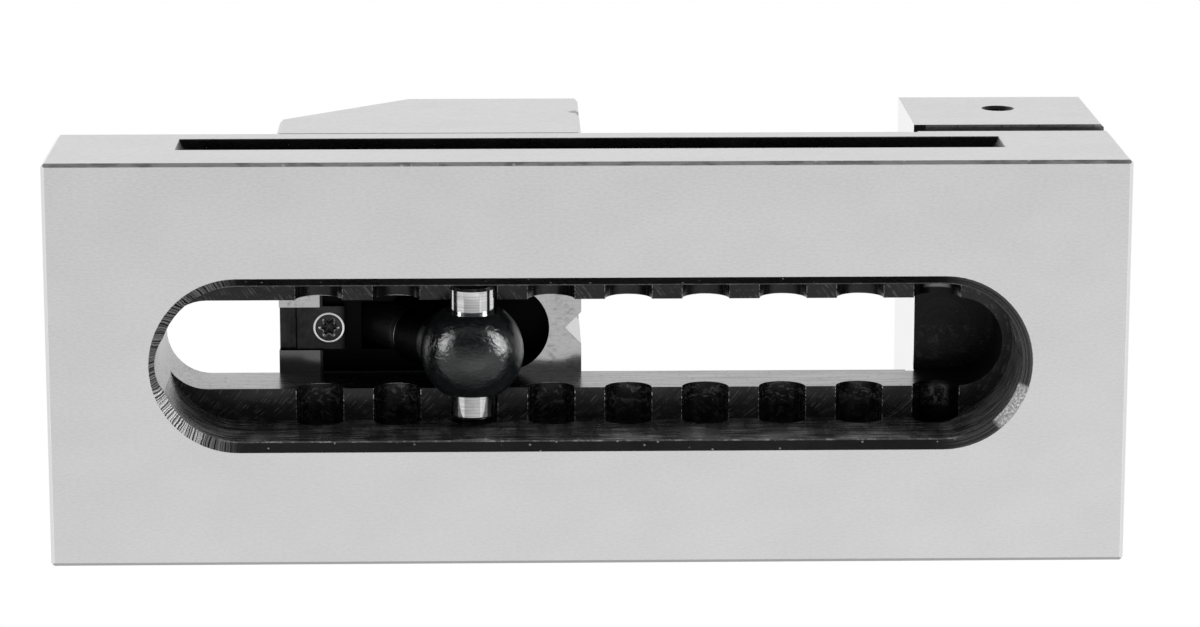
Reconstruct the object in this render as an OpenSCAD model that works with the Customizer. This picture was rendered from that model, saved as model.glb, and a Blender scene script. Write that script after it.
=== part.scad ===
// Screwless toolmaker's vise: a one-piece bed with its fixed jaw, a sliding jaw, and a
// tilting draw bolt whose ball nut hooks two cross pins into notches under the rails.
// X runs along the bed to the fixed jaw, Z is up, and the origin is under the middle of the base.

/* [Body] */
// Overall length of the body
body_l = 192; // [184:1:210]
// Width of the body and of both jaws
body_w = 73; // [66:0.5:90]
// Height of the bed that the jaw slides on
bed_h = 30.5; // [28:0.5:36]
// Height of both jaws above the bed
jaw_h = 38.5; // [36:0.5:44]
// Thickness of the fixed jaw along the bed
fixed_jaw_t = 35.2; // [30:0.2:40]
// Chamfer on the outer edges
edge_c = 0.6; // [0.3:0.1:1.2]

/* [Pocket and rails] */
// Width of the pocket milled into the base
pocket_w = 28.2; // [26:0.2:34]
// Solid metal between the pocket and the rear end of the body
rear_wall = 19.8; // [16:0.1:24]
// Solid metal between the pocket and the front end of the body
front_wall = 18.7; // [15:0.1:23]
// Chamfer round the pocket's mouth
mouth_c = 1.7; // [0.5:0.1:2.4]
// Thickness of the rails, from the bed down to the notched ledge
rail_t = 13; // [11:0.5:15]
// Ledge left at the front end, between the pocket's wall and the slot's
slot_inset = 1.7; // [0.2:0.1:2]
// How far the slot's cutter runs past the pocket at the rear end
slot_past = 0.7; // [0.3:0.1:1.4]
// Play of the ball nut in the slot, on each side
slot_clear = 0.8; // [0.1:0.05:1.2]
// How far the slot is milled up into the fixed jaw above the bed
slot_roof = 0.8; // [0.4:0.1:2]

/* [Notches] */
// Number of notches along each rail
notch_n = 9; // [7:1:9]
// Spacing of the notches
notch_pitch = 14; // [13:0.5:14.5]
// Distance of the last notch past the fixed jaw's face
notch_lead = 2.8; // [1:0.1:5]
// Play of a cross pin in its notch, on each side
notch_clear = 0.25; // [0.2:0.05:0.5]
// How far each notch runs into the pocket's wall
notch_run = 1.2; // [0.4:0.1:2]

/* [Side grooves] */
// Height of the clamp groove in each side
groove_w = 11.4; // [8:0.2:12]
// Height of the groove's middle above the base
groove_z = 19.3; // [17:0.1:21]
// Depth of the groove
groove_d = 7.5; // [4:0.5:9]
// Diameter of the disc cutter whose curve ends the groove
groove_cutter = 25; // [20:1:40]
// Distance from the rear end of the body to the groove
groove_rear = 22.5; // [18:0.5:30]
// Distance from the front end of the body to the groove
groove_front = 21; // [16:0.5:30]

/* [Fixed jaw] */
// Height of the relief along the fixed jaw's sides, just above the bed
relief_h = 7; // [3:0.5:9]
// Depth of that relief
relief_d = 2; // [0.8:0.1:3]
// Width of the undercut where the bed meets the fixed jaw
undercut_w = 1.6; // [1:0.1:2.4]
// Depth of that undercut
undercut_d = 0.9; // [0.5:0.1:1.5]
// Bore of the tapped hole for a work stop
stop_d = 5; // [4:0.1:6]
// Depth of the tapped hole
stop_depth = 14; // [10:1:18]
// Countersink round the tapped hole
stop_c = 0.6; // [0.3:0.1:1]
// Height of the tapped hole above the bed
stop_z = 25; // [15:0.5:30]

/* [Movable jaw] */
// Length of the movable jaw along the bed
jaw_l = 55.6; // [52:0.2:62]
// Opening between the jaws at the seventh notch from the front
opening = 61.5; // [57:0.5:66]
// Height of the upright part of the jaw's back
back_h = 14.5; // [13:0.5:17]
// Width of the upright V groove in the jaw's face
v_up_w = 6; // [4:0.5:8]
// Width of the level V groove in the jaw's face
v_level_w = 4.6; // [3:0.2:7]
// Height of the level V groove above the bed
v_level_z = 22.5; // [18:0.5:28]
// Sliding clearance between the jaw and the bed
jaw_clear = 0.05; // [0.02:0.01:0.1]
// Width of the cavity under the jaw
cavity_w = 16; // [14:0.5:20]
// Depth of the cavity's rear, and of the keeper's channel
cavity_d = 3; // [2.6:0.1:4]
// Depth of the cavity round the ball nut's neck
well_d = 10; // [8:0.5:12]
// Metal between the cavity and the jaw's face
cavity_front = 5.9; // [5:0.1:8]
// Metal beside the keeper's channel, from the jaw's back to the cavity
cavity_rear = 8; // [6:0.5:10]
// How far the deep cavity reaches behind the bolt's axis, at the shallow cavity's roof
well_back = 1; // [0.5:0.1:2]

/* [Draw bolt] */
// Diameter of the bolt
bolt_d = 8; // [6:0.5:8]
// Slope of the bolt to the bed when it hangs slack
bolt_angle = 55; // [53:0.5:57]
// Distance from the jaw's back to the middle of the slack ball
ball_back = 35.6; // [34.5:0.1:37.5]
// Chamfer on the bolt's end
bolt_c = 0.8; // [0.4:0.1:1.2]
// Diameter of the socket head
head_d = 13; // [12:0.5:13.5]
// Height of the socket head
head_h = 8; // [6:0.5:9]
// Chamfer round the top of the socket head
head_c = 0.6; // [0.3:0.1:0.9]
// Gap between the head and the swivel washer
head_gap = 0.05; // [0.02:0.01:0.1]
// Width across the flats of the hexagon socket
hex_af = 6; // [4:1:7]
// Depth of the hexagon socket
hex_depth = 4.2; // [2.5:0.1:5]
// How much narrower the drilled bottom of the socket is
hex_step = 0.4; // [0.2:0.1:1]
// How far the head stands out of the jaw's slope, on its axis
head_proud = 1.65; // [0.5:0.05:2.5]
// How far the slack bolt reaches past the ball's middle
bolt_past = 0.8; // [0:0.1:1]
// Room for the bolt in the slot through the jaw, on each side
bolt_room = 0.5; // [0.4:0.1:1]

/* [Swivel washer] */
// Diameter of the swivel washer
washer_d = 15.5; // [14.5:0.1:16]
// Thickness of the swivel washer at its middle
washer_h = 3.2; // [2.8:0.1:4]
// Radius of its ball-shaped underside
washer_r = 12; // [11:0.5:14]
// Gap between the washer and its seat
seat_gap = 0.1; // [0.05:0.05:0.2]
// Room for the washer to tilt in the counterbore, on each side
seat_room = 1.5; // [1.3:0.1:2]
// Play of the bolt in the washer, on each side
washer_room = 0.3; // [0.2:0.05:0.5]

/* [Ball nut] */
// Diameter of the ball
ball_d = 18.6; // [15:0.2:19]
// Width across the ball's two flats, where the cross pins come out
ball_flats = 14.8; // [14:0.2:16]
// Diameter of the neck that carries the thread
neck_d = 11; // [9.6:0.2:12]
// Length of the neck, from the ball's middle
neck_l = 18; // [13:0.5:19]
// Fillet between the ball and the neck
neck_fillet = 2; // [0.5:0.25:3]
// Chamfer on the neck's end
neck_c = 0.7; // [0.2:0.1:1]
// Running fit of the bolt in the nut, on each side
thread_fit = 0.05; // [0.02:0.01:0.1]
// Room in the ball past the end of the clamped bolt
thread_room = 1; // [0.2:0.1:1.2]
// Distance of the slack cross pins below the rail's ledge
pin_drop = 5.5; // [5:0.25:7]
// Distance of the clamped cross pins below the ledge's level
clamp_gap = 0.05; // [0.02:0.01:0.2]
// Notch, counted from the rear, that the jaw stands at as drawn
rest_notch = 3; // [1:1:7]

/* [Cross pins] */
// Diameter of the cross pins
pin_d = 8; // [7:0.25:8.5]
// Distance between the outer ends of the two pins
pin_span = 24; // [21:0.5:26]
// Distance from the ball's middle to each pin's inner end
pin_inner = 4.6; // [4.3:0.1:5.5]
// Fit of the pins in the ball, on each side
pin_fit = 0.01; // [0.01:0.01:0.03]
// Chamfer on the pins' ends
pin_c = 0.5; // [0.2:0.1:1]

/* [Keeper] */
// Length of the keeper plate
plate_l = 12; // [11:0.2:13]
// Width of the keeper plate
plate_w = 8; // [7:0.1:9]
// Thickness of the keeper plate
plate_t = 2; // [1.8:0.1:2.4]
// Length of the thinner heel at the plate's rear
heel_l = 3.2; // [2:0.1:4]
// How much thinner the heel is
heel_step = 0.5; // [0.2:0.1:0.8]
// Play of the plate in its channel, on each side
plate_clear = 0.05; // [0.02:0.01:0.2]
// How far the plate's rear end stands inside the jaw's back
plate_inset = 0.1; // [0.05:0.05:0.5]
// Distance from the jaw's back to the keeper screw
screw_x = 9.1; // [8:0.1:9.5]
// Thread diameter of the keeper screw
screw_d = 3; // [2.5:0.1:3.5]
// Head diameter of the keeper screw
screw_head_d = 5.8; // [5:0.1:6.4]
// Straight rim of the screw's head
screw_rim = 0.3; // [0.1:0.1:0.5]
// Play of the screw in the plate, on each side
screw_fit = 0.05; // [0.02:0.01:0.1]
// Fit of the screw's thread in the jaw, on each side
tap_fit = 0.01; // [0.01:0.01:0.03]
// Room past the screw's end in its hole
screw_room = 0.5; // [0.2:0.1:1]
// Depth of the screw's thread in the jaw
screw_in = 4; // [3:0.5:4.5]
// Depth of the six-lobe recess
recess_d = 1; // [0.6:0.1:1.2]
// Width across the lobes of that recess
recess_w = 2.8; // [2.2:0.1:3.2]

/* [Hidden] */
$fn = 48;
over = 1;
opening_notch = 7;
fillet_sink = 0.05;
drill_point = 118;
total_h = bed_h + jaw_h;
x_rear = -body_l / 2;
x_front = body_l / 2;
x_fixed = x_front - fixed_jaw_t;
ledge_z = bed_h - rail_t;
slot_w = ball_flats + 2 * slot_clear;
pocket_x = [x_rear + rear_wall, x_front - front_wall];
slot_x = [pocket_x[0] - slot_past, pocket_x[1] - slot_inset];
notch_d = pin_d + 2 * notch_clear;
notch_last = x_fixed + notch_lead;
stop_x = (x_fixed + x_front) / 2;
// The jaw stands at its notch, and the opening is given at one of them.
face_x = x_fixed - opening + (rest_notch - notch_n + opening_notch - 1) * notch_pitch;
back_x = face_x - jaw_l;
jaw_z = bed_h + jaw_clear;
slope_run = jaw_h - back_h;
roof_z = bed_h + cavity_d;
// The slack ball hangs below its notch, and the bolt rises from it to the jaw's slope.
ball_x = back_x + ball_back;
ball_z = ledge_z - pin_drop;
slope_t = (bed_h + back_h - back_x - ball_z + ball_x) / (sin(bolt_angle) + cos(bolt_angle));
head_top_t = slope_t + head_proud;
head_t = head_top_t - head_h;
washer_t = head_t - washer_h;
pivot_t = washer_t + washer_r;
pivot_x = ball_x - pivot_t * cos(bolt_angle);
pivot_z = ball_z + pivot_t * sin(bolt_angle);
bolt_len = head_t + bolt_past;
// Clamped, the pins lie just short of the tops of the notches nearest to where they hung.
clamp_z = ledge_z - clamp_gap;
clamp_x = notch_last - round((notch_last - ball_x) / notch_pitch) * notch_pitch;
clamp_angle = atan2(pivot_z - clamp_z, clamp_x - pivot_x);
clamp_t = norm([clamp_x - pivot_x, pivot_z - clamp_z]);
nut_travel = pivot_t - clamp_t;
thread_end = bolt_past + nut_travel + thread_room;
seat_bore_r = washer_d / 2 + seat_room;
pin_len = pin_span / 2 - pin_inner;
steel = [0.74, 0.75, 0.76];
black = [0.12, 0.12, 0.13];
bright = [0.88, 0.89, 0.9];

// A round-ended prism along X between two ends.
module oval(x, w, z0, z1) {
  translate([0, 0, z0]) {
    translate([x[0] + w / 2, -w / 2, 0]) cube([x[1] - x[0] - w, w, z1 - z0]);
    for (end = [x[0] + w / 2, x[1] - w / 2]) translate([end, 0, 0]) cylinder(d = w, h = z1 - z0);
  }
}

// The chamfer round the mouth of such a prism in the base.
module oval_mouth(x, w, c) {
  h = c + over;
  translate([0, 0, -over]) {
    for (end = [x[0] + w / 2, x[1] - w / 2]) translate([end, 0, 0]) cylinder(r1 = w / 2 + h, r2 = w / 2, h = h);
    translate([x[0] + w / 2, 0, 0]) rotate([90, 0, 90]) linear_extrude(x[1] - x[0] - w)
      polygon([[-w / 2 - h, 0], [w / 2 + h, 0], [w / 2, h], [-w / 2, h]]);
  }
}

// A side profile in X and Z, drawn out to a width across the vise.
module profile(width) {
  rotate([90, 0, 0]) linear_extrude(width, center = true) children();
}

// Cuts the long outer edges of a block that stands from z0 to z1.
module long_edges(x, z0, z1, c) {
  w = body_w / 2;
  translate([x[0], 0, 0]) rotate([90, 0, 90]) linear_extrude(x[1] - x[0])
    polygon([[-w + c, z0], [w - c, z0], [w, z0 + c], [w, z1 - c], [w - c, z1], [-w + c, z1], [-w, z1 - c], [-w, z0 + c]]);
}

// Places its children on the slack bolt, with their +Z up towards the head.
module on_bolt(t) {
  translate([ball_x - t * cos(bolt_angle), 0, ball_z + t * sin(bolt_angle)]) rotate([0, bolt_angle - 90, 0]) children();
}

module side_groove(side) {
  r = groove_cutter / 2;
  chord = sqrt(r * r - (r - groove_d) * (r - groove_d));
  ends = [x_rear + groove_rear + chord, x_front - groove_front - chord];
  translate([0, 0, groove_z - groove_w / 2]) {
    translate([ends[0], side > 0 ? body_w / 2 - groove_d : -body_w / 2 - over, 0])
      cube([ends[1] - ends[0], groove_d + over, groove_w]);
    for (end = ends) translate([end, side * (body_w / 2 + r - groove_d), 0]) cylinder(r = r, h = groove_w);
  }
}

module stop_hole(side) {
  translate([stop_x, side * body_w / 2, bed_h + stop_z]) rotate([side * 90, 0, 0]) {
    cylinder(d = stop_d, h = stop_depth);
    translate([0, 0, stop_depth]) cylinder(d1 = stop_d, d2 = 0, h = stop_d / 2 / tan(drill_point / 2));
    translate([0, 0, -over]) cylinder(d1 = stop_d + 2 * (stop_c + over), d2 = stop_d, h = stop_c + over);
  }
}

module vise_body() {
  c = edge_c;
  w = body_w / 2;
  color(steel) difference() {
    intersection() {
      profile(body_w) polygon([
        [x_rear + c, 0], [x_front - c, 0], [x_front, c], [x_front, total_h - c], [x_front - c, total_h],
        [x_fixed + c, total_h], [x_fixed, total_h - c], [x_fixed, bed_h], [x_rear + c, bed_h],
        [x_rear, bed_h - c], [x_rear, c]]);
      long_edges([x_rear - over, x_front + over], 0, total_h, c);
      linear_extrude(total_h) polygon([
        [x_rear + c, -w], [x_front - c, -w], [x_front, -w + c], [x_front, w - c], [x_front - c, w],
        [x_rear + c, w], [x_rear, w - c], [x_rear, -w + c]]);
    }
    for (side = [-1, 1]) {
      // Chamfer along the bed's top edge, and the relief along the fixed jaw's side.
      translate([x_rear - over, 0, bed_h]) rotate([90, 0, 90]) linear_extrude(x_fixed - x_rear + over)
        polygon([[side * (w - c), 0], [side * (w + over), 0], [side * (w + over), -c - over]]);
      translate([x_fixed - over, side > 0 ? w - relief_d : -w - over, bed_h])
        cube([fixed_jaw_t + 2 * over, relief_d + over, relief_h]);
      side_groove(side);
      stop_hole(side);
    }
    translate([x_fixed - undercut_w, -w - over, bed_h - undercut_d]) cube([undercut_w, body_w + 2 * over, undercut_d + over]);
    oval(pocket_x, pocket_w, -over, ledge_z);
    oval_mouth(pocket_x, pocket_w, mouth_c);
    oval(slot_x, slot_w, -over, bed_h + slot_roof);
    for (i = [0 : notch_n - 1]) translate([notch_last - i * notch_pitch, 0, ledge_z])
      rotate([90, 0, 0]) cylinder(d = notch_d, h = pocket_w + 2 * notch_run, center = true);
  }
}

// The slot that the bolt tilts in, from slack to clamped.
module tilt_slot() {
  r = bolt_d / 2 + bolt_room;
  function out(d, a, s) = [pivot_x + d * cos(a) + s * r * sin(a), pivot_z - d * sin(a) + s * r * cos(a)];
  near = washer_r - washer_h;
  far = pivot_t;
  steep = max(bolt_angle, clamp_angle);
  flat = min(bolt_angle, clamp_angle);
  profile(2 * r) polygon([out(near, steep, -1), out(far, steep, -1), out(far, flat, 1), out(near, flat, 1)]);
}

module movable_jaw() {
  c = edge_c;
  w = body_w / 2;
  r = washer_r + seat_gap;
  top = bed_h + jaw_h;
  v = v_level_w / 2;
  well_rear = pivot_x + (pivot_z - roof_z) / tan(bolt_angle) - well_back;
  color(steel) difference() {
    intersection() {
      profile(body_w) polygon([
        [back_x, jaw_z], [face_x, jaw_z], [face_x, bed_h + v_level_z - v], [face_x - v, bed_h + v_level_z],
        [face_x, bed_h + v_level_z + v], [face_x, top - c], [face_x - c, top], [back_x + slope_run, top],
        [back_x, bed_h + back_h]]);
      long_edges([back_x - over, face_x + over], jaw_z - c, top, c);
      linear_extrude(top) polygon([
        [back_x + c, -w], [face_x - c, -w], [face_x, -w + c], [face_x, w - c], [face_x - c, w],
        [back_x + c, w], [back_x, w - c], [back_x, -w + c]]);
    }
    linear_extrude(top + over) polygon([
      [face_x - v_up_w / 2, 0], [face_x + over, -v_up_w / 2 - over], [face_x + over, v_up_w / 2 + over]]);
    // Under the jaw: the cavity, its deeper well and the keeper's channel.
    intersection() {
      oval([back_x, face_x - cavity_front], cavity_w, bed_h - over, roof_z);
      translate([back_x + cavity_rear, -body_w / 2, 0]) cube([jaw_l, body_w, top]);
    }
    oval([well_rear, face_x - cavity_front], cavity_w, bed_h - over, bed_h + well_d);
    translate([back_x - over, -plate_w / 2 - plate_clear, bed_h - over])
      cube([cavity_rear + 2 * over, plate_w + 2 * plate_clear, cavity_d + over]);
    translate([back_x + screw_x, 0, roof_z - over]) cylinder(d = screw_d + 2 * tap_fit, h = screw_in + screw_room + over);
    // The counterbore in the slope ends in a dished seat.
    on_bolt(pivot_t) {
      translate([0, 0, -sqrt(r * r - seat_bore_r * seat_bore_r)]) cylinder(r = seat_bore_r, h = 3 * washer_r);
      intersection() {
        sphere(r = r, $fn = 96);
        translate([0, 0, -r - over]) cylinder(r = seat_bore_r, h = r + over);
      }
    }
    tilt_slot();
  }
}

module draw_bolt() {
  color(black) on_bolt(-bolt_past) difference() {
    union() {
      translate([0, 0, bolt_c]) cylinder(d = bolt_d, h = bolt_len + head_gap + over - bolt_c);
      cylinder(d1 = bolt_d - 2 * bolt_c, d2 = bolt_d, h = bolt_c);
      translate([0, 0, bolt_len + head_gap]) cylinder(d = head_d, h = head_h - head_gap - head_c);
      translate([0, 0, bolt_len + head_h - head_c]) cylinder(d1 = head_d, d2 = head_d - 2 * head_c, h = head_c);
    }
    translate([0, 0, bolt_len + head_h - hex_depth]) {
      cylinder(d = hex_af / cos(30), h = hex_depth + over, $fn = 6);
      rotate([180, 0, 0]) cylinder(d1 = hex_af - hex_step, d2 = 0, h = (hex_af - hex_step) / 2 / tan(drill_point / 2));
    }
  }
}

module swivel_washer() {
  color(black) on_bolt(pivot_t) difference() {
    intersection() {
      sphere(r = washer_r, $fn = 96);
      translate([0, 0, -washer_r - over]) cylinder(d = washer_d, h = washer_h + over);
    }
    translate([0, 0, -washer_r - over]) cylinder(d = bolt_d + 2 * washer_room, h = washer_r);
  }
}

module ball_nut() {
  // The fillet's circle runs along the neck and sinks just under the ball's skin.
  fillet_r = neck_d / 2 + neck_fillet;
  reach = ball_d / 2 + neck_fillet - fillet_sink;
  fillet_h = sqrt(reach * reach - fillet_r * fillet_r);
  color(black) difference() {
    union() {
      intersection() {
        translate([ball_x, 0, ball_z]) sphere(d = ball_d, $fn = 96);
        translate([ball_x - ball_d, -ball_flats / 2, ball_z - ball_d]) cube([2 * ball_d, ball_flats, 2 * ball_d]);
      }
      on_bolt(0) rotate_extrude() difference() {
        polygon([[0, 0], [fillet_r, fillet_h], [neck_d / 2, fillet_h], [neck_d / 2, neck_l - neck_c],
          [neck_d / 2 - neck_c, neck_l], [0, neck_l]]);
        translate([fillet_r, fillet_h]) circle(r = neck_fillet);
      }
    }
    on_bolt(-thread_end) cylinder(d = bolt_d + 2 * thread_fit, h = thread_end + neck_l + over);
    for (side = [-1, 1]) translate([ball_x, side * pin_inner, ball_z]) rotate([-side * 90, 0, 0])
      cylinder(d = pin_d + 2 * pin_fit, h = ball_d);
  }
}

// One cross pin, pressed into the ball on the side given.
module pivot_pin(side) {
  color(bright) translate([ball_x, side * pin_inner, ball_z]) rotate([-side * 90, 0, 0]) {
    cylinder(d = pin_d, h = pin_len - pin_c);
    translate([0, 0, pin_len - pin_c]) cylinder(d1 = pin_d, d2 = pin_d - 2 * pin_c, h = pin_c);
  }
}

module pivot_pin_left() {
  pivot_pin(-1);
}

module pivot_pin_right() {
  pivot_pin(1);
}

module keeper_plate() {
  color(black) translate([back_x, 0, roof_z]) difference() {
    translate([plate_inset, -plate_w / 2, -plate_t]) cube([plate_l - plate_inset, plate_w, plate_t]);
    translate([-over, -plate_w / 2 - over, -plate_t - over]) cube([heel_l + over, plate_w + 2 * over, heel_step + over]);
    translate([screw_x, 0, 0]) screw_shape(screw_fit);
  }
}

// The countersunk screw's outline, grown by a clearance.
module screw_shape(gap) {
  head = (screw_head_d - screw_d) / 2;
  translate([0, 0, -plate_t - gap]) {
    cylinder(d = screw_head_d + 2 * gap, h = screw_rim + gap);
    translate([0, 0, screw_rim + gap]) cylinder(d1 = screw_head_d + 2 * gap, d2 = screw_d + 2 * gap, h = head);
    cylinder(d = screw_d + 2 * gap, h = plate_t + screw_in + gap);
  }
}

module keeper_screw() {
  lobe = recess_w / 2;
  color(bright) translate([back_x + screw_x, 0, roof_z]) difference() {
    screw_shape(0);
    translate([0, 0, -plate_t - over]) {
      cylinder(r = lobe * 0.78, h = recess_d + over);
      for (i = [0 : 5]) rotate([0, 0, 60 * i]) translate([lobe * 0.72, 0, 0]) cylinder(r = lobe * 0.28, h = recess_d + over);
    }
  }
}

vise_body();
movable_jaw();
draw_bolt();
swivel_washer();
ball_nut();
pivot_pin_left();
pivot_pin_right();
keeper_plate();
keeper_screw();
echo(pivot = [pivot_x, pivot_z], ball = [ball_x, ball_z], clamp_angle = clamp_angle, nut_travel = nut_travel,
     bolt_len = bolt_len, thread_end = thread_end, face_x = face_x, back_x = back_x, x_fixed = x_fixed);
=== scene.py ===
"""Dressed model of a screwless toolmaker's vise, seen from below its base.

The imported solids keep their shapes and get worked-out metal finishes. Two fasteners are swapped
for pieces with real threads, a knurl and a six-lobe recess, and a thread sleeve lines each tapped
hole. Sizes are in millimetres until a mesh is made. X runs along the bed to the fixed jaw, and Z
is up.
"""

import logging
from dataclasses import dataclass
from enum import Enum
from typing import Mapping, Optional, Sequence, Union

import bpy
import numpy as np
from mathutils import Matrix

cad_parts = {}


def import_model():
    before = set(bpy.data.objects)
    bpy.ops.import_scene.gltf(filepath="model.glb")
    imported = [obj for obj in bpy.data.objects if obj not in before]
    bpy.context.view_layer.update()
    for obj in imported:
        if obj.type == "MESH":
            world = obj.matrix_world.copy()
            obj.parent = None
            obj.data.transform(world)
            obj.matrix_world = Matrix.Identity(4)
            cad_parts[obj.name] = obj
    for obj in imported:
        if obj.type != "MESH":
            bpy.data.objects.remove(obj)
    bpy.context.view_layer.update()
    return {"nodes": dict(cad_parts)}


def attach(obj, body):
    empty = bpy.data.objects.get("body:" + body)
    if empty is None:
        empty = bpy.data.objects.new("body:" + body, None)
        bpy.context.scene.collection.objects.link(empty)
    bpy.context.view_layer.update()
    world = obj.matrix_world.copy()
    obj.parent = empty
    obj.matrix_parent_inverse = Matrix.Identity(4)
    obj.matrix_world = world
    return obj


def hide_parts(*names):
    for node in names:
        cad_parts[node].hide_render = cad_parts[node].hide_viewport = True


LOG = logging.getLogger("vise")
MM = 0.001
PER_METRE = 1000.0
Colour = tuple[float, float, float, float]
Number = Union[float, "Value"]
Feed = Union[float, Sequence[float], "Value"]


def grey(level: float, warmth: float = 0.0) -> Colour:
    """A linear grey of a level, pushed a little to warm or cold."""
    return (level * (1.0 + warmth), level, level * (1.0 - warmth), 1.0)


class Value:
    """A node's output that Python's operators work on; each operator adds one Math node."""

    def __init__(self, tree: "Tree", socket: bpy.types.NodeSocket) -> None:
        """Keeps the output and the tree that it belongs to."""
        self.tree = tree
        self.socket = socket

    def __add__(self, other: Number) -> "Value":
        """Sum."""
        return self.tree.math("ADD", self, other)

    def __radd__(self, other: Number) -> "Value":
        """Sum with a number on the left."""
        return self.tree.math("ADD", other, self)

    def __sub__(self, other: Number) -> "Value":
        """Difference."""
        return self.tree.math("SUBTRACT", self, other)

    def __rsub__(self, other: Number) -> "Value":
        """Difference from a number on the left."""
        return self.tree.math("SUBTRACT", other, self)

    def __mul__(self, other: Number) -> "Value":
        """Product."""
        return self.tree.math("MULTIPLY", self, other)

    def __rmul__(self, other: Number) -> "Value":
        """Product with a number on the left."""
        return self.tree.math("MULTIPLY", other, self)

    def __truediv__(self, other: Number) -> "Value":
        """Quotient."""
        return self.tree.math("DIVIDE", self, other)

    def __rtruediv__(self, other: Number) -> "Value":
        """Quotient of a number on the left."""
        return self.tree.math("DIVIDE", other, self)

    def __pow__(self, other: Number) -> "Value":
        """Power."""
        return self.tree.math("POWER", self, other)

    def __neg__(self) -> "Value":
        """Opposite."""
        return self.tree.math("MULTIPLY", self, -1.0)

    def __abs__(self) -> "Value":
        """Distance from zero."""
        return self.tree.math("ABSOLUTE", self)

    def __lt__(self, other: Number) -> "Value":
        """1 where this is less, else 0."""
        return self.tree.math("LESS_THAN", self, other)

    def __gt__(self, other: Number) -> "Value":
        """1 where this is more, else 0."""
        return self.tree.math("GREATER_THAN", self, other)

    def __and__(self, other: "Value") -> "Value":
        """Both masks."""
        return self.tree.math("MINIMUM", self, other)

    def __or__(self, other: "Value") -> "Value":
        """Either mask."""
        return self.tree.math("MAXIMUM", self, other)

    def __invert__(self) -> "Value":
        """The mask turned round."""
        return self.tree.math("SUBTRACT", 1.0, self)

    def least(self, floor: float) -> "Value":
        """This, or the floor where it is lower."""
        return self.tree.math("MAXIMUM", self, floor)

    def rise(self, low: float, high: float) -> "Value":
        """A smooth step from 0 at low to 1 at high."""
        sockets = {0: self, 1: low, 2: high, 3: 0.0, 4: 1.0}
        return self.tree.value("ShaderNodeMapRange", {"interpolation_type": "SMOOTHSTEP"}, sockets)

    def within(self, low: float, high: float) -> "Value":
        """1 between two limits, else 0."""
        return (self > low) & (self < high)

    def band(self, rise: tuple[float, float], fall: tuple[float, float]) -> "Value":
        """1 between two soft limits, each given as the stretch that the change runs over."""
        return self.rise(*rise) & ~self.rise(*fall)


class Tree:
    """Adds the nodes of one material or world."""

    def __init__(self, owner: Union[bpy.types.Material, bpy.types.World]) -> None:
        """Empties the owner's nodes."""
        owner.use_nodes = True
        self.graph = owner.node_tree
        self.graph.nodes.clear()

    def add(
        self, kind: str, settings: Optional[Mapping[str, object]] = None, sockets: Optional[Mapping] = None
    ) -> bpy.types.Node:
        """Makes one node.

        Args:
            kind: The node's type.
            settings: Its properties, set first.
            sockets: Its inputs by name or number, each a constant or a link.

        Returns:
            The node.
        """
        node = self.graph.nodes.new(kind)
        for name, setting in (settings or {}).items():
            setattr(node, name, setting)
        for key, feed in (sockets or {}).items():
            if isinstance(feed, Value):
                self.graph.links.new(feed.socket, node.inputs[key])
            else:
                node.inputs[key].default_value = feed
        return node

    def value(
        self,
        kind: str,
        settings: Optional[Mapping[str, object]],
        sockets: Optional[Mapping],
        output: Union[int, str] = 0,
    ) -> Value:
        """One output of a new node, ready for expressions."""
        return Value(self, self.add(kind, settings, sockets).outputs[output])

    def math(self, operation: str, *terms: Number) -> Value:
        """One Math node on its terms."""
        return self.value("ShaderNodeMath", {"operation": operation}, dict(enumerate(terms)))

    def place(self) -> Value:
        """The point in the piece's own frame, in metres."""
        return self.value("ShaderNodeTexCoord", {}, {}, "Object")

    def axes(self) -> tuple[Value, Value, Value]:
        """The point's X, Y and Z in millimetres."""
        parts = self.add("ShaderNodeSeparateXYZ", {}, {0: self.place()})
        return tuple(Value(self, out) * PER_METRE for out in parts.outputs)

    def noise(
        self, per_mm: Sequence[float], detail: float = 2.0, rough: float = 0.5, bend: float = 0.0
    ) -> Value:
        """Cloudy noise from 0 to 1, with so many lumps per millimetre along each axis."""
        scale = [PER_METRE * lumps for lumps in per_mm]
        where = self.value("ShaderNodeVectorMath", {"operation": "MULTIPLY"}, {0: self.place(), 1: scale})
        sockets = {"Vector": where, "Scale": 1.0, "Detail": detail, "Roughness": rough, "Distortion": bend}
        return self.value("ShaderNodeTexNoise", {}, sockets, "Fac")

    def line_noise(self, along: Value, detail: float = 1.0) -> Value:
        """Noise from 0 to 1 over one number alone, for stripes of uneven width."""
        sockets = {"W": along, "Scale": 1.0, "Detail": detail}
        return self.value("ShaderNodeTexNoise", {"noise_dimensions": "1D"}, sockets, "Fac")

    def specks(self, per_mm: float, reach: float) -> Value:
        """Small round spots: 1 near scattered points, 0 elsewhere."""
        scale = {0: self.place(), "Scale": PER_METRE * per_mm}
        where = self.value("ShaderNodeVectorMath", {"operation": "SCALE"}, scale)
        sockets = {"Vector": where, "Scale": 1.0, "Randomness": 1.0}
        near = self.value("ShaderNodeTexVoronoi", {}, sockets, "Distance")
        return ~near.rise(0.5 * reach, reach)

    def blend(self, share: Value, low: Number, high: Number) -> Number:
        """Goes from low to high with a share from 0 to 1."""
        if not isinstance(low, Value) and low == high:
            return low
        return low + (high - low) * share

    def tint(self, share: Value, low: Feed, high: Feed) -> Feed:
        """Goes from one colour to another with a share from 0 to 1."""
        if not isinstance(low, Value) and low == high:
            return low
        settings = {"data_type": "RGBA", "clamp_factor": True}
        return self.value("ShaderNodeMix", settings, {0: share, 6: low, 7: high}, 2)


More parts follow.
